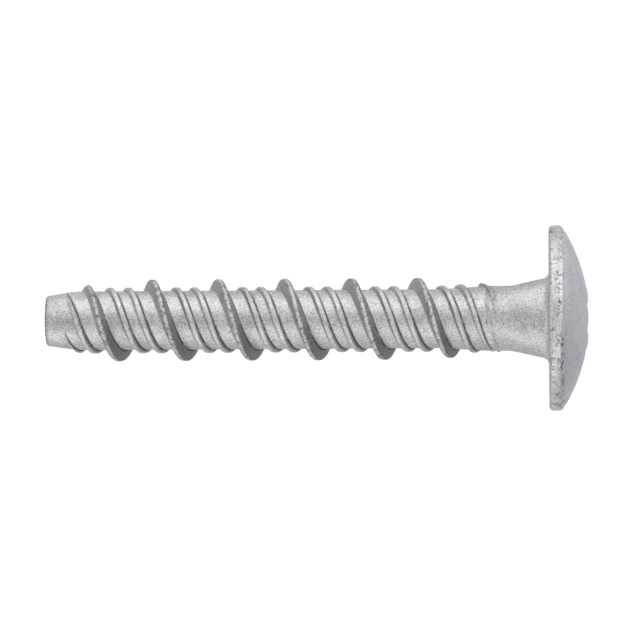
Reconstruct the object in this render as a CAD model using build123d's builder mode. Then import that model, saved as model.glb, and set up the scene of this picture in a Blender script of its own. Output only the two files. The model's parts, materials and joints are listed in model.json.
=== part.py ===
from build123d import *
import os
from math import atan2, ceil, cos, degrees, hypot, radians, sin, tan

# Concrete screw for a 6 mm hole: one piece of cold-formed steel with a high cutting thread, a
# large domed head and a hexalobular recess. It is made standing about the Z axis, with the
# head's bearing face at height zero and the tip below it, and is then laid down as it rests:
# on the rim of its head and on a crest of its thread, with the head end towards +X.
# Sizes are in millimetres and degrees.

# Shank, from the bearing face to the end of the tip
under_head_length = 50.0
core_diameter = 5.85
shank_step = 0.305  # how far the plain shank stands out from the core, on each side
core_rise_end = 5.9  # below the head, where the core has swelled to the plain shank
core_rise_angle = 3.5
flare_length = 3.7  # the shank widens over this length to meet the head
flare_angle = 12.9
flare_blend_radius = 4.0
neck_height = 0.7  # the last of the flare, which opens wider under the head
neck_angle = 43.0

# Tip
tip_taper_length = 2.9
tip_taper_angle = 8.9
tip_bevel = 0.15

# Thread: right-hand, a high cutting ridge
lead = 6.61
ridge_height = 1.14
ridge_root_width = 1.2
ridge_crest_width = 0.57
run_in_start = 2.0  # from the tip's end, where the ridge rises out of the taper
run_in_angle = 20.0
run_out_end = 4.85  # below the head, where the ridge has sunk into the shank
run_out_angle = 7.8
rest_crest = 8.88  # from the tip's end to the crest that the screw rests on

# Head
head_diameter = 18.4
head_height = 3.86
rim_height = 1.15
rim_lower_bevel = 0.26
rim_upper_bevel = 0.22

# Hexalobular recess, size 30
recess_lobe_diameter = 5.6
recess_waist_diameter = 3.95
recess_lobe_radius = 0.45
recess_depth = 2.6
recess_point_depth = 0.7
recess_turn = 30.0  # of its first lobe, from the side that the screw rests on

# Values worked out from those above
tip_end = -under_head_length
core_radius = core_diameter / 2
shank_radius = core_radius + shank_step
ridge_radius = core_radius + ridge_height
tip_slope = tan(radians(tip_taper_angle))
tip_radius = core_radius - tip_taper_length * tip_slope
flare_radius = shank_radius + (flare_length - neck_height) * tan(radians(flare_angle))
neck_radius = flare_radius + neck_height * tan(radians(neck_angle))
head_radius = head_diameter / 2
crown = head_height - rim_height
dome_radius = (head_radius**2 + crown**2) / (2 * crown)

# The core swells to the shank as a slight cone, whose foot starts inside the thread
rise_slope = tan(radians(core_rise_angle))
rise_foot = -core_rise_end - shank_step / rise_slope - lead / 4
rise_foot_radius = shank_radius + (rise_foot + core_rise_end) * rise_slope


def polar(radius, bearing):
    """A point across the axis, from its distance to it and its bearing in degrees."""
    return (radius * cos(radians(bearing)), radius * sin(radians(bearing)))


# One lead of the thread along the side that it rests on: the corners from one ridge to the next
ridge_side = [
    (core_radius, -ridge_root_width / 2),
    (ridge_radius, -ridge_crest_width / 2),
    (ridge_radius, ridge_crest_width / 2),
    (core_radius, ridge_root_width / 2),
    (core_radius, lead - ridge_root_width / 2),
]


def turn_of(corner, place):
    """One turn of the helix that a corner of the ridge follows, raised by a height."""
    radius, height = corner
    return Edge.make_helix(lead, lead, radius, center=(0, 0, place + height))


def thread_blank(first_turn, last_turn):
    """Whole turns of thread: a skin of strips that wind up the shank and its two ends, made solid."""
    skin = []
    for turn in range(first_turn, last_turn):
        place = tip_end + rest_crest + turn * lead
        for below, above in zip(ridge_side, ridge_side[1:]):
            skin.append(Face.make_surface_from_curves(turn_of(below, place), turn_of(above, place)))
    for turn in (first_turn, last_turn):
        place = tip_end + rest_crest + turn * lead
        side = [(radius, 0, place + height) for radius, height in ridge_side]
        bottom, top = (0, 0, side[0][2]), (0, 0, side[-1][2])
        end_ramp = (Edge.make_line(bottom, top), turn_of(ridge_side[0], place))
        skin.append(Face.make_surface_from_curves(*end_ramp))
        skin.append(Face(Wire.make_polygon([bottom, *side, top])))
    return Solid(Shell(skin))


# The threaded shank: turned cones trim whole turns of thread to its tip, run-in and run-out.
# It stays in two lengths, which meet where the core starts to swell.
run_in_slope = tan(radians(run_in_angle))
run_out_slope = tan(radians(run_out_angle))
trim_radius = ridge_radius + ridge_height
run_in_foot = tip_end + run_in_start
run_in_radius = tip_radius + run_in_start * tip_slope
blank = thread_blank(-ceil(rest_crest / lead) - 1, ceil((under_head_length - rest_crest) / lead))
with BuildPart() as thread:
    add(blank)
    with BuildSketch(Plane.XZ):
        with BuildLine():
            Polyline(
                (0, tip_end),
                (tip_radius - tip_bevel, tip_end),
                (tip_radius + tip_bevel * tip_slope, tip_end + tip_bevel),
                (run_in_radius, run_in_foot),
                (trim_radius, run_in_foot + (trim_radius - run_in_radius) / run_in_slope),
                (trim_radius, -run_out_end - (trim_radius - shank_radius) / run_out_slope),
                (shank_radius, -run_out_end),
                (0, -run_out_end),
                close=True,
            )
        make_face()
    revolve(axis=Axis.Z, mode=Mode.INTERSECT)
    split(bisect_by=Plane.XY.offset(rise_foot - lead / 4), keep=Keep.BOTH)

# The standing screw: the plain shank and the head turned in one, then the thread and the recess
with BuildPart() as standing:
    with BuildSketch(Plane.XZ) as profile:
        with BuildLine():
            Polyline(
                (0, head_height),
                (0, rise_foot),
                (rise_foot_radius, rise_foot),
                (shank_radius, -core_rise_end),
                (shank_radius, -flare_length),
                (flare_radius, -neck_height),
                (neck_radius, 0),
                (head_radius, 0),
                (head_radius, head_height),
                close=True,
            )
        make_face()
        blend_corner = profile.vertices().sort_by_distance((shank_radius, -flare_length)).first
        fillet(blend_corner, flare_blend_radius)
        lower_corner = profile.vertices().sort_by_distance((head_radius, 0)).first
        chamfer(lower_corner, rim_lower_bevel)
    revolve(axis=Axis.Z)
    with Locations((0, 0, head_height - dome_radius)):
        Sphere(dome_radius, rotation=(90, 0, 0), mode=Mode.INTERSECT)
    rim_edges = standing.edges().filter_by(GeomType.CIRCLE).group_by(SortBy.RADIUS)[-1]
    chamfer(rim_edges.sort_by(Axis.Z)[-1], rim_upper_bevel)
    add(thread.part)
    with BuildSketch(Plane.XY.offset(head_height)):
        with BuildLine():
            # Six lobes and six waists whose arcs touch, which sets the radius of the waists
            lobe_centre = recess_lobe_diameter / 2 - recess_lobe_radius
            waist = recess_waist_diameter / 2
            reach = lobe_centre * cos(radians(30))
            waist_radius = (lobe_centre**2 + waist**2 - 2 * waist * reach - recess_lobe_radius**2) / (
                2 * (recess_lobe_radius - waist + reach)
            )
            waist_centre = waist + waist_radius
            share = recess_lobe_radius / (recess_lobe_radius + waist_radius)
            touch_x = lobe_centre + (waist_centre * cos(radians(30)) - lobe_centre) * share
            touch_y = waist_centre * sin(radians(30)) * share
            touch_radius = hypot(touch_x, touch_y)
            touch_bearing = degrees(atan2(touch_y, touch_x))
            for lobe in range(6):
                bearing = recess_turn + lobe * 60
                entry = polar(touch_radius, bearing - touch_bearing)
                leaving = polar(touch_radius, bearing + touch_bearing)
                next_entry = polar(touch_radius, bearing + 60 - touch_bearing)
                ThreePointArc(entry, polar(recess_lobe_diameter / 2, bearing), leaving)
                ThreePointArc(leaving, polar(waist, bearing + 30), next_entry)
        make_face()
    extrude(amount=-recess_depth, mode=Mode.SUBTRACT)
    with Locations((0, 0, head_height - recess_depth)):
        Cone(
            bottom_radius=0,
            top_radius=waist,
            height=recess_point_depth,
            align=(Align.CENTER, Align.CENTER, Align.MAX),
            mode=Mode.SUBTRACT,
        )

# At rest the floor touches the rim above its lower bevel and the tip side of a crest
rim_beyond_crest = rim_lower_bevel + under_head_length - rest_crest + ridge_crest_width / 2
tilt = atan2(head_radius - ridge_radius, rim_beyond_crest)
laid = Plane((0, 0, 0), x_dir=(sin(tilt), 0, -cos(tilt)), z_dir=(cos(tilt), 0, sin(tilt)))
room = standing.part.moved(laid.location).bounding_box()
laid.origin = (-room.center().X, -room.center().Y, -room.min.Z)

with BuildPart() as screw:
    with Locations(laid):
        add(standing.part)

screw.part.label = "screw"
os.makedirs("parts", exist_ok=True)
export_step(screw.part, "parts/screw.step")
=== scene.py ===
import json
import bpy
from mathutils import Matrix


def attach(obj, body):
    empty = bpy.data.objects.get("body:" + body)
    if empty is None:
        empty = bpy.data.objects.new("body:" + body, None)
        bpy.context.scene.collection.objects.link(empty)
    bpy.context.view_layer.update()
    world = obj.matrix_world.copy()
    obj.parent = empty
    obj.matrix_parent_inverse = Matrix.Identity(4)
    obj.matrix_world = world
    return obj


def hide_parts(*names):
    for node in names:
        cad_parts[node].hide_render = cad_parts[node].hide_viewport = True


bl_info = {
    "name": "Concrete screw",
    "version": (1, 0, 0),
    "blender": (4, 5, 0),
    "location": "3D View > Sidebar > Screw",
    "description": "A concrete screw of dull zinc-coated steel, lying on a pale floor",
    "category": "Add Mesh",
}

from math import atan2, ceil, cos, exp, hypot, pi, radians, sin, sqrt, tan

import bpy
from bpy.props import FloatProperty, FloatVectorProperty, IntProperty, PointerProperty
from mathutils import Matrix, Vector

# The frame: the solid screw, its box, and the mounts that say where its axis lies
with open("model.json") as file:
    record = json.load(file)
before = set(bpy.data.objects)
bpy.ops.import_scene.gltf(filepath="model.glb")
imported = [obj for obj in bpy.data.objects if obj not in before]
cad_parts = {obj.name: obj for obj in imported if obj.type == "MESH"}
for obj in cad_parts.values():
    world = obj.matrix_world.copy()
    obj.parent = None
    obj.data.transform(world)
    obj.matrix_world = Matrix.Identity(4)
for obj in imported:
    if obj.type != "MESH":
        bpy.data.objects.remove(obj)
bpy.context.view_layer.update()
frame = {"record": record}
mounts = {mount["name"]: mount for mount in frame["record"]["mounts"]}
head_way = Vector(mounts["drive_recess"]["axis"]).normalized()
side_way = Vector((0, 1, 0))
floor_way = side_way.cross(head_way)
seat = Vector(mounts["bearing_face"]["pos_m"])
seat.y = 0
# The screw is modelled upright, its bearing face at height zero and its tip below, then laid down
laid = Matrix((floor_way, side_way, head_way)).transposed().to_4x4()
laid.translation = seat

MM = 0.001
TURN = 2 * pi
LOBES = 6

# How the skin is wound: the spacing of the points along its profiles, and where they join
THREAD_SPACING = 0.16 * MM
TURNED_SPACING = 0.3 * MM
WELD = 0.001 * MM  # points nearer than this become one
TURNS_BELOW = 3  # whole turns wound below the crest that the screw rests on
TIP_JOIN = 0.4 * MM  # from the tip's end to where the thread's skin begins
HEAD_JOIN = 0.5 * MM  # from the end of the run-out to where the thread's skin stops

# Rounds at the foot and the crest of the ridges, and where the taper meets the core
HIGH_ROUNDS = (0.12 * MM, 0.25 * MM)
LOW_ROUNDS = (0.06 * MM, 0.12 * MM)
CORE_ROUND = 0.15 * MM

# How the ridges rise and sink at the two ends of the thread
SOFTNESS = 0.2  # round of the bend where a ridge comes to its full height
SINK = 0.6 * MM  # a low ridge sinks as gently as one of this height
NARROWING = 0.7  # how much of its width a ridge loses as it sinks
REACH = 0.9 * MM  # from a ridge's middle, how far the shank beside it follows as it narrows

# The dark line at the feet of the ridges, partly grime and partly painted crease shade: the width
# of its line on the head's and the tip's side
HEAD_GRIME_AND_SHADE = 0.06 * MM
TIP_GRIME_AND_SHADE = 0.05 * MM
TIP_SHARE = 0.35  # how strong it is on the tip's side, against the head's

# The unevenness of the crests, and the burr past the last of them
ROUND_WAVES = 3.2  # how fast it changes round the screw, against 1 for each mm along it
FULL_WAVES = 0.35 * MM  # what stands out by this much or more has all of it
BURR_WIDTH = 0.14 * MM

# The rim and the dome, and the lip, the wall and the point of the recess
RIM_WIDTH = 0.6 * MM  # the rounds of the rim lie within this of its edge
DOME_STEPS = 26
LIP_WIDTH = 0.25 * MM
LIP_SHARES = (0.75, 0.5, 0.25, 0.1, 0.0)  # where the lip has its points, from its outer edge at 1
WALL_STEPS = 8
WALL_DRAFT = 0.04 * MM
POINT_STEPS = 6


def length(name, description, millimetres):
    """A length that the user can change."""
    return FloatProperty(
        name=name, description=description, default=millimetres * MM, unit="LENGTH", precision=5
    )


def angle(name, description, in_degrees):
    """An angle that the user can change."""
    return FloatProperty(
        name=name, description=description, default=radians(in_degrees), subtype="ANGLE"
    )


def colour(name, description, red, green, blue):
    """A colour that the user can change."""
    return FloatVectorProperty(
        name=name, description=description, default=(red, green, blue, 1), subtype="COLOR",
        size=4, min=0, max=1,
    )


class ScrewSizes(bpy.types.PropertyGroup):
    """The sizes of the screw."""

    under_head: length("Length under head", "From the bearing face to the end of the tip", 50)
    core: length("Core diameter", "Diameter between the ridges", 5.85)
    shank_step: length("Shank step", "How far the plain shank stands out from the core", 0.305)
    rise_end: length("Rise end", "Below the head, where the core has swelled to the shank", 5.9)
    rise_angle: angle("Rise angle", "Slope of the core as it swells", 3.5)
    flare_length: length("Flare length", "The shank widens over this length to the head", 3.7)
    flare_angle: angle("Flare angle", "Slope of the flare", 12.9)
    flare_round: length("Flare round", "Radius from the shank to the flare", 4)
    neck_round: length("Neck round", "Radius from the flare to the bearing face", 0.7)

    taper_length: length("Taper length", "Length of the tip's taper", 2.9)
    taper_angle: angle("Taper angle", "Slope of the tip's taper", 8.9)
    tip_round: length("Tip round", "Radius of the tip's edge", 0.2)

    lead: length("Lead", "Advance of the thread in one turn", 6.61)
    high_ridge: length("High ridge", "Height of the cutting ridge", 1.14)
    high_root: length("High root", "Width of the cutting ridge at its foot", 1.2)
    high_crest: length("High crest", "Width of the cutting ridge at its crest", 0.57)
    low_ridge: length("Low ridge", "Height of the low ridges", 0.35)
    low_root: length("Low root", "Width of a low ridge at its foot", 0.74)
    low_crest: length("Low crest", "Width of a low ridge at its crest", 0.42)
    low_spacing: length("Low spacing", "From one low ridge to the other of the pair", 1.83)
    run_in_start: length("Run-in start", "From the tip's end to the first of the thread", 2)
    run_in_angle: angle("Run-in angle", "Slope at which the ridges rise", 20)
    run_out_end: length("Run-out end", "Below the head, where the ridges are gone", 4.85)
    run_out_angle: angle("Run-out angle", "Slope at which the ridges sink", 7.8)
    rest_crest: length("Rest crest", "From the tip's end to the crest that it rests on", 8.88)

    head: length("Head diameter", "Diameter of the head", 18.4)
    head_height: length("Head height", "From the bearing face to the top of the dome", 3.97)
    rim_height: length("Rim height", "From the bearing face to the foot of the dome", 1.27)
    rim_lower_round: length("Lower rim round", "Radius of the rim at the bearing face", 0.45)
    rim_upper_round: length("Upper rim round", "Radius of the rim at the dome", 0.5)
    lobe: length("Lobe diameter", "Across the lobes of the recess", 5.6)
    waist: length("Waist diameter", "Across the waists of the recess", 3.95)
    lobe_round: length("Lobe round", "Radius of a lobe's end", 0.45)
    recess_depth: length("Recess depth", "Depth of the recess", 2.6)
    recess_point: length("Recess point", "Depth of the cone at its bottom", 0.7)
    recess_turn: angle("Recess turn", "Of a lobe, from the side that the screw rests on", 30)
    recess_lip: length("Recess lip", "Height of the lip pushed up round the recess", 0.06)

    burr_start: length("Burr start", "Below the head, where the burr of the last ridge begins", 7.8)
    burr_lead: length("Burr lead", "Advance of the burr in one turn", 3.8)
    burr_height: length("Burr height", "Height of the burr", 0.14)
    steps: IntProperty(name="Steps", description="Faces round the screw", default=120, min=24)
    waviness: length("Waviness", "Unevenness of the rolled crests", 0.03)


class ScrewFinish(bpy.types.PropertyGroup):
    """The colours and the roughness of the zinc coat, with the painted shade on the flanks and the
    dark lines at the feet.
    """

    zinc: colour("Zinc", "The coat where it is thin", 0.4, 0.4, 0.41)
    pale_zinc: colour("Pale zinc", "The coat where it is thick", 0.8, 0.8, 0.79)
    crown_zinc: colour("Crown zinc", "The coat on the dome", 0.5, 0.49, 0.57)
    # Painted shade: the colour that the flanks of the cutting ridge are darkened to
    lee: colour("Painted flank shade", "The coat on the flanks of the cutting ridge", 0.2, 0.2, 0.215)
    speck: colour("Speck", "The specks and the worn spots", 0.16, 0.14, 0.12)
    # The dark line at the feet of the ridges: partly grime, partly painted crease shade
    grime_and_shade: colour("Grime and shade", "What lies at the feet of the ridges", 0.085, 0.055, 0.033)
    tarnish: colour("Tarnish", "The line at the edge of the bearing face", 0.5, 0.38, 0.24)
    roughness: FloatProperty(
        name="Roughness", description="Roughness of the coat", default=0.52, subtype="FACTOR"
    )
    grain: length("Grain", "Size of the coat's grains", 0.15)


class StageLook(bpy.types.PropertyGroup):
    """The camera, the lights and the floor."""

    distance: length("Distance", "From the camera to the screw", 450)
    lens: FloatProperty(name="Lens", description="Focal length in mm", default=254.4)
    lean: angle("Lean", "Of the view towards the head, from square to the axis", 2.8)
    roll: angle("Roll", "Of the camera about its own line of sight", 0.33)
    aim: length("Aim", "Where it looks, from the bearing face down the axis", 22.75)
    aside: length("Aside", "How far from the axis it looks", 0.06)
    floor: colour("Floor", "The floor", 0.7, 0.7, 0.7)
    ambient: FloatProperty(
        name="Ambient", description="Strength of the light from all round", default=0.14
    )


class Nodes:
    """Adds nodes to a tree: the settings first, then the values or links of the sockets."""

    def __init__(self, tree):
        self.tree = tree

    def add(self, kind, settings=None, sockets=None):
        """The node itself."""
        node = self.tree.nodes.new(kind)
        for name, value in (settings or {}).items():
            setattr(node, name, value)
        for key, value in (sockets or {}).items():
            if isinstance(value, Value):
                value = value.socket
            if isinstance(value, bpy.types.NodeSocket):
                self.tree.links.new(value, node.inputs[key])
            else:
                node.inputs[key].default_value = value
        return node

    def value(self, kind, settings=None, sockets=None, output=0):
        """One of the node's outputs, as a value to reckon with."""
        return Value(self, self.add(kind, settings, sockets).outputs[output])


class Value:
    """A number that varies over a mesh: reckoning with it adds Math nodes."""

    def __init__(self, nodes, socket):
        self.nodes = nodes
        self.socket = socket

    def maths(self, operation, *others, before=()):
        """The Math node of an operation on this value and others."""
        settings = {"operation": operation}
        sockets = dict(enumerate([*before, self, *others]))
        return self.nodes.value("ShaderNodeMath", settings, sockets)

    def __add__(self, other):
        return self.maths("ADD", other)

    def __sub__(self, other):
        return self.maths("SUBTRACT", other)

    def __mul__(self, other):
        return self.maths("MULTIPLY", other)

    def __truediv__(self, other):
        return self.maths("DIVIDE", other)

    def __rsub__(self, other):
        return self.maths("SUBTRACT", before=(other,))

    __radd__ = __add__
    __rmul__ = __mul__

    def low(self, other):
        """The lower of this and another value."""
        return self.maths("MINIMUM", other)

    def high(self, other):
        """The higher of this and another value."""
        return self.maths("MAXIMUM", other)

    def soft_low(self, other, distance):
        """The lower of the two, with a round where they cross."""
        return self.maths("SMOOTH_MIN", other, distance)

    def step(self, start, end):
        """From 0 at the start to 1 at the end, smoothly."""
        settings = {"interpolation_type": "SMOOTHSTEP"}
        sockets = {"Value": self, "From Min": start, "From Max": end}
        return self.nodes.value("ShaderNodeMapRange", settings, sockets)


def rounded(corners, spacing, arc_steps=4):
    """Points along a line with round corners. A corner is its radius from the axis, its height
    and its round; straight runs get a point at each spacing."""
    points = [Vector(corner[:2]) for corner in corners]
    path = [points[0]]
    for before, here, after, corner in zip(points, points[1:], points[2:], corners[1:]):
        back, on = (before - here).normalized(), (after - here).normalized()
        half = back.angle(on) / 2
        if corner[2] == 0:
            path.append(here)
            continue
        start = here + back * corner[2] / tan(half)
        end = here + on * corner[2] / tan(half)
        centre = here + (back + on).normalized() * corner[2] / sin(half)
        for step in range(arc_steps + 1):
            spoke = (start - centre).slerp(end - centre, step / arc_steps)
            path.append(centre + spoke * corner[2])
    path.append(points[-1])
    dense = [path[0]]
    for start, end in zip(path, path[1:]):
        parts = max(1, ceil((end - start).length / spacing))
        dense += [start.lerp(end, part / parts) for part in range(1, parts + 1)]
    return dense


def profile(name, points, marks):
    """A line of points as a mesh, with its marks for the winding and the coat as attributes."""
    mesh = bpy.data.meshes.new(name)
    edges = [(i, i + 1) for i in range(len(points) - 1)]
    mesh.from_pydata([(point.x, 0, point.y) for point in points], edges, [])
    for mark, values in marks.items():
        attribute = mesh.attributes.new(mark, "FLOAT", "POINT")
        attribute.data.foreach_set("value", values)
    return bpy.data.objects.new(name, mesh)


def hump(distance, width):
    """1 at no distance, and nearly 0 past twice the width."""
    return exp(-((distance / width) ** 2))


def thread_profile(sizes):
    """One lead of the thread along the shank: the high ridge, then the pair of low ridges."""
    core = sizes.core / 2
    high_sides = (sizes.high_ridge, sizes.high_root, sizes.high_crest, *HIGH_ROUNDS)
    low_sides = (sizes.low_ridge, sizes.low_root, sizes.low_crest, *LOW_ROUNDS)
    places = [
        (0, *high_sides),
        ((sizes.lead - sizes.low_spacing) / 2, *low_sides),
        ((sizes.lead + sizes.low_spacing) / 2, *low_sides),
    ]
    # It starts midway between the high ridge and the low one on its tip's side
    seam = -(sizes.lead - sizes.low_spacing) / 4
    corners = [(core, seam, 0)]
    for middle, height, root, crest, foot_round, crest_round in places:
        corners += [
            (core, middle - root / 2, foot_round),
            (core + height, middle - crest / 2, crest_round),
            (core + height, middle + crest / 2, crest_round),
            (core, middle + root / 2, foot_round),
        ]
    corners.append((core, seam + sizes.lead, 0))
    points = rounded(corners, THREAD_SPACING)
    head_feet = [middle + root / 2 for middle, _, root, _, _, _ in places]
    tip_feet = [middle - root / 2 for middle, _, root, _, _, _ in places]
    marks = {"foot": [], "lee": [], "crest": [], "off": [], "full": []}
    for point in points:
        # How far it lies from the middle of its ridge, fading to nothing on the shank beside it
        nearest = min(places, key=lambda place: abs(point.y - place[0]))
        off = point.y - nearest[0]
        beside = (REACH - abs(off)) / (REACH - nearest[2] / 2)
        marks["off"].append(off * min(1, max(0, beside)))
        marks["full"].append(nearest[1])
        # The dark line at the feet, partly grime and partly painted crease shade, strongest on the
        # head's side
        dark = max(hump(point.y - foot, HEAD_GRIME_AND_SHADE) for foot in head_feet)
        faint = max(hump(point.y - foot, TIP_GRIME_AND_SHADE) for foot in tip_feet)
        marks["foot"].append(dark + TIP_SHARE * faint)
        # Painted shade on the flanks of the high ridge, half as strong on the tip's side; its top
        # is bright
        high = (point.x - core) / sizes.high_ridge
        on_flank = sizes.high_crest * 0.3 < abs(point.y) < sizes.high_root / 2
        shade = 1 if point.y > 0 else 0.5
        marks["lee"].append(min(1, max(0, high * 3)) * shade if on_flank else 0)
        marks["crest"].append(min(1, max(0, 4 * high - 3)))
    return profile("thread_line", points, marks)


def dome_radius(sizes):
    """Radius of the dome, from its height over the rim."""
    crown = sizes.head_height - sizes.rim_height
    return ((sizes.head / 2) ** 2 + crown**2) / (2 * crown)


def turned_profile(sizes, join):
    """From the threaded shank to the middle of the recess, as a line to turn about the axis."""
    shank = sizes.core / 2 + sizes.shank_step
    head = sizes.head / 2
    dome = dome_radius(sizes)
    flare = shank + sizes.flare_length * tan(sizes.flare_angle)
    chord_end = head - head / 3
    lobe = sizes.lobe / 2
    corners = [
        (shank, join, 0),
        (shank, -sizes.flare_length, sizes.flare_round),
        (flare, 0, sizes.neck_round),
        (head, 0, sizes.rim_lower_round),
        (head, sizes.rim_height, sizes.rim_upper_round),
        (chord_end, dome_height(dome, sizes.head_height, chord_end), 0),
    ]
    points = rounded(corners, TURNED_SPACING, 6)
    line = [point for point in points if point.x > head - RIM_WIDTH or point.y <= 0]
    outer = line[-1].x
    for step in range(1, DOME_STEPS + 1):
        radius = outer + (lobe + LIP_WIDTH - outer) * step / DOME_STEPS
        line.append(Vector((radius, dome_height(dome, sizes.head_height, radius))))
    lobed = [0.0] * len(line)
    on_top = len(line) + len(LIP_SHARES)
    for share in LIP_SHARES:
        radius = lobe + LIP_WIDTH * share
        bulge = sizes.recess_lip * sin(pi * (1 - share) * 0.75)
        line.append(Vector((radius, dome_height(dome, sizes.head_height, radius) + bulge)))
        lobed.append(1.0 - share)
    top = line[-1].y
    floor = sizes.head_height - sizes.recess_depth
    for part in range(1, WALL_STEPS + 1):
        line.append(Vector((lobe - WALL_DRAFT, top + (floor - top) * part / WALL_STEPS)))
        lobed.append(1.0)
    for part in range(1, POINT_STEPS + 1):
        share = 1 - part / POINT_STEPS
        line.append(Vector((lobe * share, floor - sizes.recess_point * (1 - share))))
        lobed.append(share)
    lip_points = [1.0 if place < on_top else 0.0 for place in range(len(line))]
    marks = {"lobed": lobed, "lip": lip_points, "rim": [], "crown": [], "edge": []}
    for point, share in zip(line, lobed):
        # The rim's outer face, the dome as far as the recess, and a line at the bearing face's edge
        on_rim = point.y > 0.1 * MM and point.x > head - 0.35 * MM
        on_crown = point.y > sizes.rim_height + 0.1 * MM and share < 0.9
        marks["rim"].append(float(on_rim))
        marks["crown"].append(float(on_crown))
        marks["edge"].append(hump(hypot(point.x - head + 0.3 * MM, point.y), 0.2 * MM))
    return profile("turned_line", line, marks)


def dome_height(dome, top, radius):
    """Height of the dome at a distance from the axis."""
    return top - dome + sqrt(dome**2 - radius**2)


def tip_profile(sizes, join):
    """From the middle of the tip's end to the threaded shank."""
    slope = tan(sizes.taper_angle)
    end = sizes.core / 2 - sizes.taper_length * slope
    corners = [
        (0, -sizes.under_head, 0),
        (end, -sizes.under_head, sizes.tip_round),
        (end + slope * (join + sizes.under_head), join, 0),
    ]
    points = rounded(corners, TURNED_SPACING, 5)
    edge = [hump(hypot(point.x - end, point.y + sizes.under_head), 0.15 * MM) for point in points]
    return profile("tip_line", points, {"foot": edge})


def spun(nodes, bearing, radius, height):
    """The point at a bearing and a radius round the axis, at a height."""
    sides = {"X": bearing.maths("COSINE") * radius, "Y": bearing.maths("SINE") * radius}
    return nodes.value("ShaderNodeCombineXYZ", {}, {**sides, "Z": height})


def wind(nodes, line, steps, turns, marks, shape):
    """Winds a profile round the axis. The shape function takes the profile's radius and height,
    the turn and the values of the marks, and gives a radius, a height and the marks to write."""
    source = nodes.value("GeometryNodeObjectInfo", {}, {"Object": line}, "Geometry")
    size = nodes.add("GeometryNodeAttributeDomainSize", {}, {"Geometry": source})
    columns = Value(nodes, size.outputs["Point Count"])
    rows = steps * turns + 1
    sockets = {"Size X": 1.0, "Size Y": 1.0, "Vertices X": columns, "Vertices Y": rows}
    grid = nodes.value("GeometryNodeMeshGrid", {}, sockets)
    place = nodes.add("GeometryNodeInputPosition").outputs[0]
    across = nodes.add("ShaderNodeSeparateXYZ", {}, {"Vector": place})
    column = ((Value(nodes, across.outputs["X"]) + 0.5) * (columns - 1)).maths("ROUND")
    row = ((Value(nodes, across.outputs["Y"]) + 0.5) * (rows - 1)).maths("ROUND")
    sampled = nodes.value(
        "GeometryNodeSampleIndex",
        {"data_type": "FLOAT_VECTOR", "domain": "POINT"},
        {"Geometry": source, "Value": place, "Index": column},
    )
    point = nodes.add("ShaderNodeSeparateXYZ", {}, {"Vector": sampled})
    turn = row / steps
    taken = {}
    for mark in marks:
        named = nodes.value(
            "GeometryNodeInputNamedAttribute", {"data_type": "FLOAT"}, {"Name": mark}
        )
        sockets = {"Geometry": source, "Value": named, "Index": column}
        taken[mark] = nodes.value("GeometryNodeSampleIndex", {"data_type": "FLOAT"}, sockets)
    radius, height, written = shape(
        Value(nodes, point.outputs["X"]), Value(nodes, point.outputs["Z"]), turn, taken
    )
    shell = grid
    for mark, value in written.items():
        shell = nodes.value(
            "GeometryNodeStoreNamedAttribute",
            {"data_type": "FLOAT", "domain": "POINT"},
            {"Geometry": shell, "Name": mark, "Value": value},
        )
    spot = spun(nodes, turn * TURN, radius, height)
    wound = nodes.value("GeometryNodeSetPosition", {}, {"Geometry": shell, "Position": spot})
    return nodes.value("GeometryNodeFlipFaces", {}, {"Mesh": wound})


# The names of the tree's inputs, by the type of their socket
INPUTS = {
    "NodeSocketObject": ("Thread line", "Turned line", "Tip line"),
    "NodeSocketInt": ("Steps", "Turns"),
    "NodeSocketFloat": (
        "Lead", "Rest crest", "Tip end", "Lower join", "Upper join",
        "Core radius", "Shank radius", "Tip radius", "Tip slope", "Rise end", "Rise slope",
        "Run-in start", "Run-in slope", "Run-out end", "Run-out slope",
        "Waviness", "Burr start", "Burr lead", "Burr height",
        "Recess turn", "Lobe end", "Lobe round", "Waist centre", "Waist round", "Lobe share",
        "Dome curve",
    ),
    "NodeSocketMaterial": ("Coat",),
}


def arc_reach(bearing, centre, radius, side):
    """Distance from the axis to an arc, whose centre lies off it, at a bearing from that centre.
    The side is 1 for the arc's far side and -1 for its near side."""
    along = centre * bearing.maths("COSINE")
    across = centre * bearing.maths("SINE")
    return along + (radius * radius - across * across).maths("SQRT") * side


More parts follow.
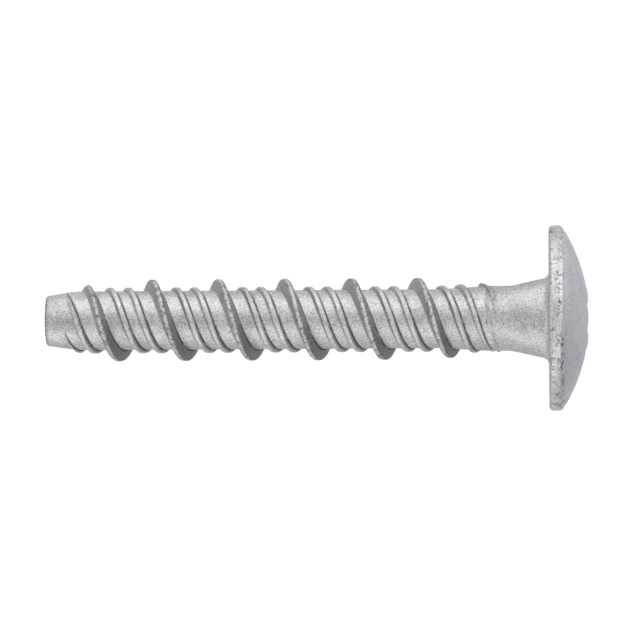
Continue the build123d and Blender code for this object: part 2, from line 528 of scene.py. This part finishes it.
def screw_tree():
    """Geometry Nodes that wind the thread, turn the head and the tip, and weld them into one."""
    tree = bpy.data.node_groups.new("wound_screw", "GeometryNodeTree")
    for kind, names in INPUTS.items():
        for name in names:
            tree.interface.new_socket(name, in_out="INPUT", socket_type=kind)
    tree.interface.new_socket("Screw", in_out="OUTPUT", socket_type="NodeSocketGeometry")
    nodes = Nodes(tree)
    group = nodes.add("NodeGroupInput")
    given = {name: Value(nodes, group.outputs[name]) for names in INPUTS.values() for name in names}
    steps = given["Steps"]

    def thread_shape(radius, height, turn, marks):
        """The ridges rise out of the taper and sink into the shank, which swells under them, and
        a burr follows the last of them."""
        from_crest = (turn - TURNS_BELOW) * given["Lead"] + height
        raw = given["Tip end"] + given["Rest crest"] + from_crest
        level = raw.high(given["Lower join"]).low(given["Upper join"])
        reach = level - given["Tip end"]
        # Under the ridges: the taper of the tip, the core, and the swelling to the shank
        taper = given["Tip radius"] + reach * given["Tip slope"]
        swell = given["Shank radius"] + (level - given["Rise end"]) * given["Rise slope"]
        core = taper.soft_low(given["Core radius"], CORE_ROUND)
        core = core.high(swell.low(given["Shank radius"]))
        # How far the ridges have grown, and how far they are drawn in as they sink
        run_in_radius = given["Tip radius"] + given["Run-in start"] * given["Tip slope"]
        run_in = run_in_radius + (reach - given["Run-in start"]) * given["Run-in slope"]
        run_out = given["Shank radius"] + (given["Run-out end"] - level) * given["Run-out slope"]
        rising = ((run_in - core) / marks["full"]).soft_low(1.0, SOFTNESS)
        sinking = ((run_out - core) / marks["full"].high(SINK)).soft_low(1.0, SOFTNESS)
        growth = rising.low(sinking).high(0.0)
        present = growth.step(0.0, 0.2)
        narrowed = level - marks["off"] * (1 - growth) * present * NARROWING
        ridge = core + (radius - given["Core radius"]) * growth
        # One turn of burr, which fades at both ends
        share = turn.maths("FRACT")
        burr_place = given["Burr start"] + share * given["Burr lead"]
        off = (level - burr_place).maths("ABSOLUTE")
        shown = share.step(0.1, 0.25) * (1 - share.step(0.72, 0.86))
        burr = (1 - off.step(0.0, BURR_WIDTH)) * shown
        over = (ridge - core).high(0.0) + burr * given["Burr height"]
        # What stands out of the core is uneven
        around = spun(nodes, turn * TURN, ROUND_WAVES, level * (1 / MM))
        noise = nodes.value(
            "ShaderNodeTexNoise",
            {"noise_dimensions": "3D"},
            {"Vector": around, "Scale": 0.9, "Detail": 3.0, "Roughness": 0.6},
        )
        uneven = (noise - 0.5) * given["Waviness"] * 2 * (over / FULL_WAVES).low(1.0)
        presence = over.step(0.02 * MM, 0.16 * MM)
        # The foot mark carries the dark line, partly grime and partly painted crease shade; the
        # flank mark carries painted shade
        written = {
            "foot": marks["foot"] * present + burr * noise.step(0.45, 0.6) * 0.4,
            "lee": marks["lee"] * presence,
            "crest": marks["crest"] * presence,
        }
        return core + over + uneven, narrowed, written

    thread_marks = ("foot", "lee", "crest", "off", "full")
    thread = wind(nodes, given["Thread line"], steps, given["Turns"], thread_marks, thread_shape)

    def turned_shape(radius, height, turn, marks):
        """Round all the way, but for the recess, whose outline bites in between its lobes."""
        lobe = turn * LOBES - given["Recess turn"] * LOBES / TURN
        off_lobe = ((lobe + 0.5).maths("FRACT") - 0.5).maths("ABSOLUTE")
        lobe_centre = given["Lobe end"] - given["Lobe round"]
        on_lobe = arc_reach(off_lobe * (TURN / LOBES), lobe_centre, given["Lobe round"], 1)
        off_waist = (0.5 - off_lobe) * (TURN / LOBES)
        on_waist = arc_reach(off_waist, given["Waist centre"], given["Waist round"], -1)
        past = off_lobe.maths("GREATER_THAN", given["Lobe share"])
        bite = given["Lobe end"] - on_lobe * (1 - past) - on_waist * past
        bitten = radius - bite * marks["lobed"]
        rise = (radius * radius - bitten * bitten) * given["Dome curve"] * marks["lip"]
        written = {mark: marks[mark] for mark in ("rim", "crown", "edge")}
        return bitten, height + rise, written

    turned_marks = ("lobed", "lip", "rim", "crown", "edge")
    turned = wind(nodes, given["Turned line"], steps, 1, turned_marks, turned_shape)

    def tip_shape(radius, height, turn, marks):
        """Round all the way."""
        return radius, height, {"foot": marks["foot"]}

    tip = wind(nodes, given["Tip line"], steps, 1, ("foot",), tip_shape)

    joined = nodes.add("GeometryNodeJoinGeometry")
    for shell in (tip, turned, thread):
        tree.links.new(shell.socket, joined.inputs[0])
    welded = nodes.value(
        "GeometryNodeMergeByDistance",
        {},
        {"Geometry": joined.outputs[0], "Distance": WELD},
    )
    real = nodes.value("GeometryNodeRealizeInstances", {}, {"Geometry": welded})
    smooth = nodes.value("GeometryNodeSetShadeSmooth", {}, {"Geometry": real})
    coated = nodes.value(
        "GeometryNodeSetMaterial", {}, {"Geometry": smooth, "Material": given["Coat"]}
    )
    nodes.add("NodeGroupOutput", {}, {"Screw": coated})
    return tree


def zinc_coat(finish):
    """Dull zinc: grains and clouds, a lilac tinge on the dome, painted shade on the flanks, dark
    specks and worn spots, and a dark line at the feet of the ridges, partly grime and partly
    painted crease shade."""
    material = bpy.data.materials.new("zinc_coat")
    material.use_nodes = True
    tree = material.node_tree
    tree.nodes.clear()
    nodes = Nodes(tree)
    place = nodes.add("ShaderNodeTexCoord").outputs["Object"]

    def noise(scale, detail, roughness=0.5):
        sockets = {"Vector": place, "Scale": scale, "Detail": detail, "Roughness": roughness}
        return nodes.value("ShaderNodeTexNoise", {}, sockets)

    def mark(name):
        sockets = {"attribute_name": name, "attribute_type": "GEOMETRY"}
        return nodes.value("ShaderNodeAttribute", sockets, {}, "Fac")

    def mixed(share, below, above):
        sockets = {"Factor": share, "A": below, "B": above}
        return nodes.value("ShaderNodeMix", {"data_type": "RGBA"}, sockets, 2)

    # The unevenness of the coat, from its grains to its clouds
    grains = noise(1 / finish.grain, 3, 0.6)
    fine = noise(2.3 / finish.grain, 2)
    clouds = noise(1 / (2.6 * MM), 4, 0.6)
    patches = noise(1 / (0.7 * MM), 3, 0.6)
    specks = noise(1 / (0.32 * MM), 2, 0.6)
    blotches = noise(1 / (1.1 * MM), 2, 0.5)
    foot, lee, crest = mark("foot"), mark("lee"), mark("crest")
    rim, crown, edge = mark("rim"), mark("crown"), mark("edge")

    tone = (clouds - 0.5) * 0.9 + (patches - 0.5) * 0.5 + (grains - 0.5) * 3.0 + 0.5
    tone = tone.high(0.0).low(1.0)
    base = mixed(tone, tuple(finish.zinc), tuple(finish.pale_zinc))
    base = mixed(rim * 0.25 + crest * 0.35, base, tuple(finish.pale_zinc))
    lilac = mixed(tone * 0.5, tuple(finish.crown_zinc), tuple(finish.pale_zinc))
    base = mixed(crown * 0.8, base, lilac)
    # Painted shade on the flanks of the cutting ridge, broken up by the grains
    shaded_flanks = mixed(lee * (1.1 - grains * 0.8), base, tuple(finish.lee))
    worn = (rim * blotches.step(0.42, 0.6) + crest * blotches.step(0.25, 0.55) * 0.9).low(1.0)
    speck = specks.step(0.63, 0.69) * 0.5 + worn * specks.step(0.46, 0.56) * 0.65
    spotted = mixed(speck, shaded_flanks, tuple(finish.speck))
    # Dark lines at the feet of the ridges, the tip's edge and the burr: partly grime, partly
    # painted shade
    broken = foot * (patches.step(0.3, 0.55) * 0.6 + 0.55)
    grimed_and_shaded = mixed(broken.low(1.0), spotted, tuple(finish.grime_and_shade))
    edged = mixed(edge * clouds.step(0.3, 0.6) * 0.6, grimed_and_shaded, tuple(finish.tarnish))

    # How it scatters light: the partly grimy lines at the feet and the dome are duller
    rough = finish.roughness + (grains - 0.5) * 0.25 + foot * 0.2 + crown * 0.04
    height = grains * (crest * 2 + 0.8) + fine * 0.5 + patches * (crest * 2 + 0.6)
    bump = nodes.value(
        "ShaderNodeBump", {}, {"Strength": 0.8, "Distance": 0.05 * MM, "Height": height}
    )
    shader = nodes.add(
        "ShaderNodeBsdfPrincipled",
        {},
        {"Base Color": edged, "Metallic": 1 - foot * 0.6, "Roughness": rough, "Normal": bump},
    )
    nodes.add("ShaderNodeOutputMaterial", {}, {"Surface": shader.outputs[0]})
    return material


def waist_arcs(sizes):
    """The arcs between the lobes of the recess, which touch the arcs at the lobes' ends."""
    centre = sizes.lobe / 2 - sizes.lobe_round
    waist = sizes.waist / 2
    half = TURN / LOBES / 2
    reach = centre * cos(half)
    waist_round = (centre**2 + waist**2 - 2 * waist * reach - sizes.lobe_round**2) / (
        2 * (sizes.lobe_round - waist + reach)
    )
    waist_centre = waist + waist_round
    share = sizes.lobe_round / (sizes.lobe_round + waist_round)
    touch_x = centre + (waist_centre * cos(half) - centre) * share
    touch_y = waist_centre * sin(half) * share
    lobe_share = atan2(touch_y, touch_x) / (TURN / LOBES)
    return {"Waist centre": waist_centre, "Waist round": waist_round, "Lobe share": lobe_share}


class SCREW_OT_body(bpy.types.Operator):
    """Build the screw in one piece, from its tip to the recess in its head"""

    bl_idname = "screw.body"
    bl_label = "Screw"

    def execute(self, context):
        sizes = context.scene.screw_sizes
        lower_join = -sizes.under_head + TIP_JOIN
        upper_join = -sizes.run_out_end + HEAD_JOIN
        tip_slope = tan(sizes.taper_angle)
        lines = {
            "Thread line": thread_profile(sizes),
            "Turned line": turned_profile(sizes, upper_join),
            "Tip line": tip_profile(sizes, lower_join),
        }
        for line in lines.values():
            context.scene.collection.objects.link(line)
        above_crest = upper_join + sizes.under_head - sizes.rest_crest
        values = {
            **lines,
            "Steps": sizes.steps,
            "Turns": ceil(above_crest / sizes.lead + 0.5) + TURNS_BELOW,
            "Lead": sizes.lead,
            "Rest crest": sizes.rest_crest,
            "Tip end": -sizes.under_head,
            "Lower join": lower_join,
            "Upper join": upper_join,
            "Core radius": sizes.core / 2,
            "Shank radius": sizes.core / 2 + sizes.shank_step,
            "Tip radius": sizes.core / 2 - sizes.taper_length * tip_slope,
            "Tip slope": tip_slope,
            "Rise end": -sizes.rise_end,
            "Rise slope": tan(sizes.rise_angle),
            "Run-in start": sizes.run_in_start,
            "Run-in slope": tan(sizes.run_in_angle),
            "Run-out end": -sizes.run_out_end,
            "Run-out slope": tan(sizes.run_out_angle),
            "Waviness": sizes.waviness,
            "Burr start": -sizes.burr_start,
            "Burr lead": sizes.burr_lead,
            "Burr height": sizes.burr_height,
            "Recess turn": sizes.recess_turn,
            "Lobe end": sizes.lobe / 2,
            "Lobe round": sizes.lobe_round,
            **waist_arcs(sizes),
            "Dome curve": 0.5 / dome_radius(sizes),
            "Coat": zinc_coat(context.scene.screw_finish),
        }
        start = bpy.data.objects.new("start", bpy.data.meshes.new("start"))
        context.scene.collection.objects.link(start)
        tree = screw_tree()
        modifier = start.modifiers.new("wound_screw", "NODES")
        modifier.node_group = tree
        sockets = {item.name: item.identifier for item in tree.interface.items_tree}
        for name, value in values.items():
            modifier[sockets[name]] = value
        context.view_layer.update()
        graph = context.evaluated_depsgraph_get()
        mesh = bpy.data.meshes.new_from_object(start.evaluated_get(graph))
        start.modifiers.remove(modifier)
        for spare in (start, *lines.values()):
            bpy.data.objects.remove(spare)
        mesh.name = "screw_skin"
        mesh.transform(laid)
        piece = bpy.data.objects.new("screw_skin", mesh)
        context.scene.collection.objects.link(piece)
        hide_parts("screw")
        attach(piece, "root")
        return {"FINISHED"}


def seen_white(nodes, lit, strength, shown, mirrored):
    """Mixes white into what is lit: the camera sees the share of it that is shown, and metal and
    glass the share that is mirrored."""
    white = nodes.add("ShaderNodeEmission", {}, {"Color": (1, 1, 1, 1), "Strength": strength})
    path = nodes.add("ShaderNodeLightPath")
    camera = Value(nodes, path.outputs["Is Camera Ray"])
    mirror = Value(nodes, path.outputs["Is Glossy Ray"]).high(path.outputs["Is Transmission Ray"])
    share = (camera * shown).high(mirror * mirrored)
    mixed = nodes.add("ShaderNodeMixShader", {}, {0: share, 1: lit, 2: white.outputs[0]})
    return mixed.outputs[0]


# The soft lights: the place of each from the middle of the screw, its upright and level size in
# metres, its power in watts and its tint
LAMPS = {
    "key": ((-0.06, 0.254, 0.118), (0.5, 0.13), 0.63, (1, 1, 0.985)),
    "fill_high": ((0.05, -0.15, 0.24), (0.2, 0.08), 0.22, (0.97, 0.965, 1)),
    "fill_low": ((-0.1, -0.25, 0.07), (0.3, 0.12), 0.3, (0.96, 0.955, 1)),
    "tip": ((-0.24, -0.01, 0.18), (0.1, 0.2), 0.04, (1, 1, 1)),
    "neck": ((-0.3, 0, 0.06), (0.06, 0.3), 0.2, (1, 1, 1)),
    "dome": ((0.2, 0.13, 0.12), (0.3, 0.2), 0.4, (0.97, 0.97, 1)),
}
LAMP_AIM = Vector((0, 0, 0.01))  # what the lights face, a little above the floor


class SCREW_OT_stage(bpy.types.Operator):
    """Lay the pale floor, hang the lights and set up the camera"""

    bl_idname = "screw.stage"
    bl_label = "Stage"

    def execute(self, context):
        look = context.scene.stage_look
        self.lay_floor(context, look)
        middle = seat - head_way * look.aim - side_way * look.aside
        for name, (place, size, power, tint) in LAMPS.items():
            self.hang(context, name, middle + Vector(place), size, power, tint)
        world = bpy.data.worlds.new("studio")
        world.use_nodes = True
        context.scene.world = world
        world.node_tree.nodes.clear()
        nodes = Nodes(world.node_tree)
        sockets = {"Color": (1, 1, 1, 1), "Strength": look.ambient}
        dim = nodes.add("ShaderNodeBackground", {}, sockets)
        mixed = seen_white(nodes, dim.outputs[0], strength=1, shown=1, mirrored=0.05)
        nodes.add("ShaderNodeOutputWorld", {}, {"Surface": mixed})
        self.place_camera(context, look, middle)
        context.scene.view_settings.view_transform = "Standard"
        return {"FINISHED"}

    def lay_floor(self, context, look):
        """A wide floor under the screw, which keeps its shadow."""
        mesh = bpy.data.meshes.new("floor")
        reach = 2.0
        corners = [(-reach, -reach, 0), (reach, -reach, 0), (reach, reach, 0), (-reach, reach, 0)]
        mesh.from_pydata(corners, [], [(0, 1, 2, 3)])
        floor = bpy.data.objects.new("floor", mesh)
        context.scene.collection.objects.link(floor)
        material = bpy.data.materials.new("floor_white")
        material.use_nodes = True
        material.node_tree.nodes.clear()
        nodes = Nodes(material.node_tree)
        lit = nodes.add("ShaderNodeBsdfDiffuse", {}, {"Color": tuple(look.floor)})
        mixed = seen_white(nodes, lit.outputs[0], strength=1.06, shown=0.93, mirrored=0.2)
        nodes.add("ShaderNodeOutputMaterial", {}, {"Surface": mixed})
        mesh.materials.append(material)

    def hang(self, context, name, place, size, power, tint):
        """A flat soft light that faces the screw."""
        data = bpy.data.lights.new(name, "AREA")
        data.shape = "RECTANGLE"
        data.size, data.size_y = size
        data.energy = power
        data.color = tint
        lamp = bpy.data.objects.new(name, data)
        away = (place - LAMP_AIM).normalized()
        turned = away.to_track_quat("Z", "X").to_matrix().to_4x4()
        lamp.matrix_world = Matrix.Translation(place) @ turned
        context.scene.collection.objects.link(lamp)

    def place_camera(self, context, look, middle):
        """A camera above the screw, with the head to the right."""
        square = head_way.cross(side_way)
        away = square * cos(look.lean) + head_way * sin(look.lean)
        data = bpy.data.cameras.new("camera")
        data.lens = look.lens
        data.clip_start, data.clip_end = 0.01, 10
        camera = bpy.data.objects.new("camera", data)
        right = side_way.cross(away).normalized()
        turn = Matrix((right, away.cross(right), away)).transposed().to_4x4()
        roll = Matrix.Rotation(-look.roll, 4, "Z")
        camera.matrix_world = Matrix.Translation(middle + away * look.distance) @ turn @ roll
        context.scene.collection.objects.link(camera)
        context.scene.camera = camera


class SCREW_PT_panel(bpy.types.Panel):
    """Buttons and sizes in the sidebar"""

    bl_label = "Screw"
    bl_idname = "SCREW_PT_panel"
    bl_space_type = "VIEW_3D"
    bl_region_type = "UI"
    bl_category = "Screw"

    def draw(self, context):
        for operator in OPERATORS:
            self.layout.operator(operator.bl_idname)
        scene = context.scene
        for group in (scene.screw_sizes, scene.screw_finish, scene.stage_look):
            box = self.layout.box()
            for name in group.__annotations__:
                box.prop(group, name)


OPERATORS = (SCREW_OT_body, SCREW_OT_stage)
CLASSES = (ScrewSizes, ScrewFinish, StageLook, *OPERATORS, SCREW_PT_panel)


def register():
    for each in CLASSES:
        bpy.utils.register_class(each)
    bpy.types.Scene.screw_sizes = PointerProperty(type=ScrewSizes)
    bpy.types.Scene.screw_finish = PointerProperty(type=ScrewFinish)
    bpy.types.Scene.stage_look = PointerProperty(type=StageLook)


def unregister():
    del bpy.types.Scene.screw_sizes, bpy.types.Scene.screw_finish, bpy.types.Scene.stage_look
    for each in reversed(CLASSES):
        bpy.utils.unregister_class(each)


def main():
    """Builds everything in order."""
    register()
    bpy.ops.screw.body()
    bpy.ops.screw.stage()


if __name__ == "__main__":
    main()
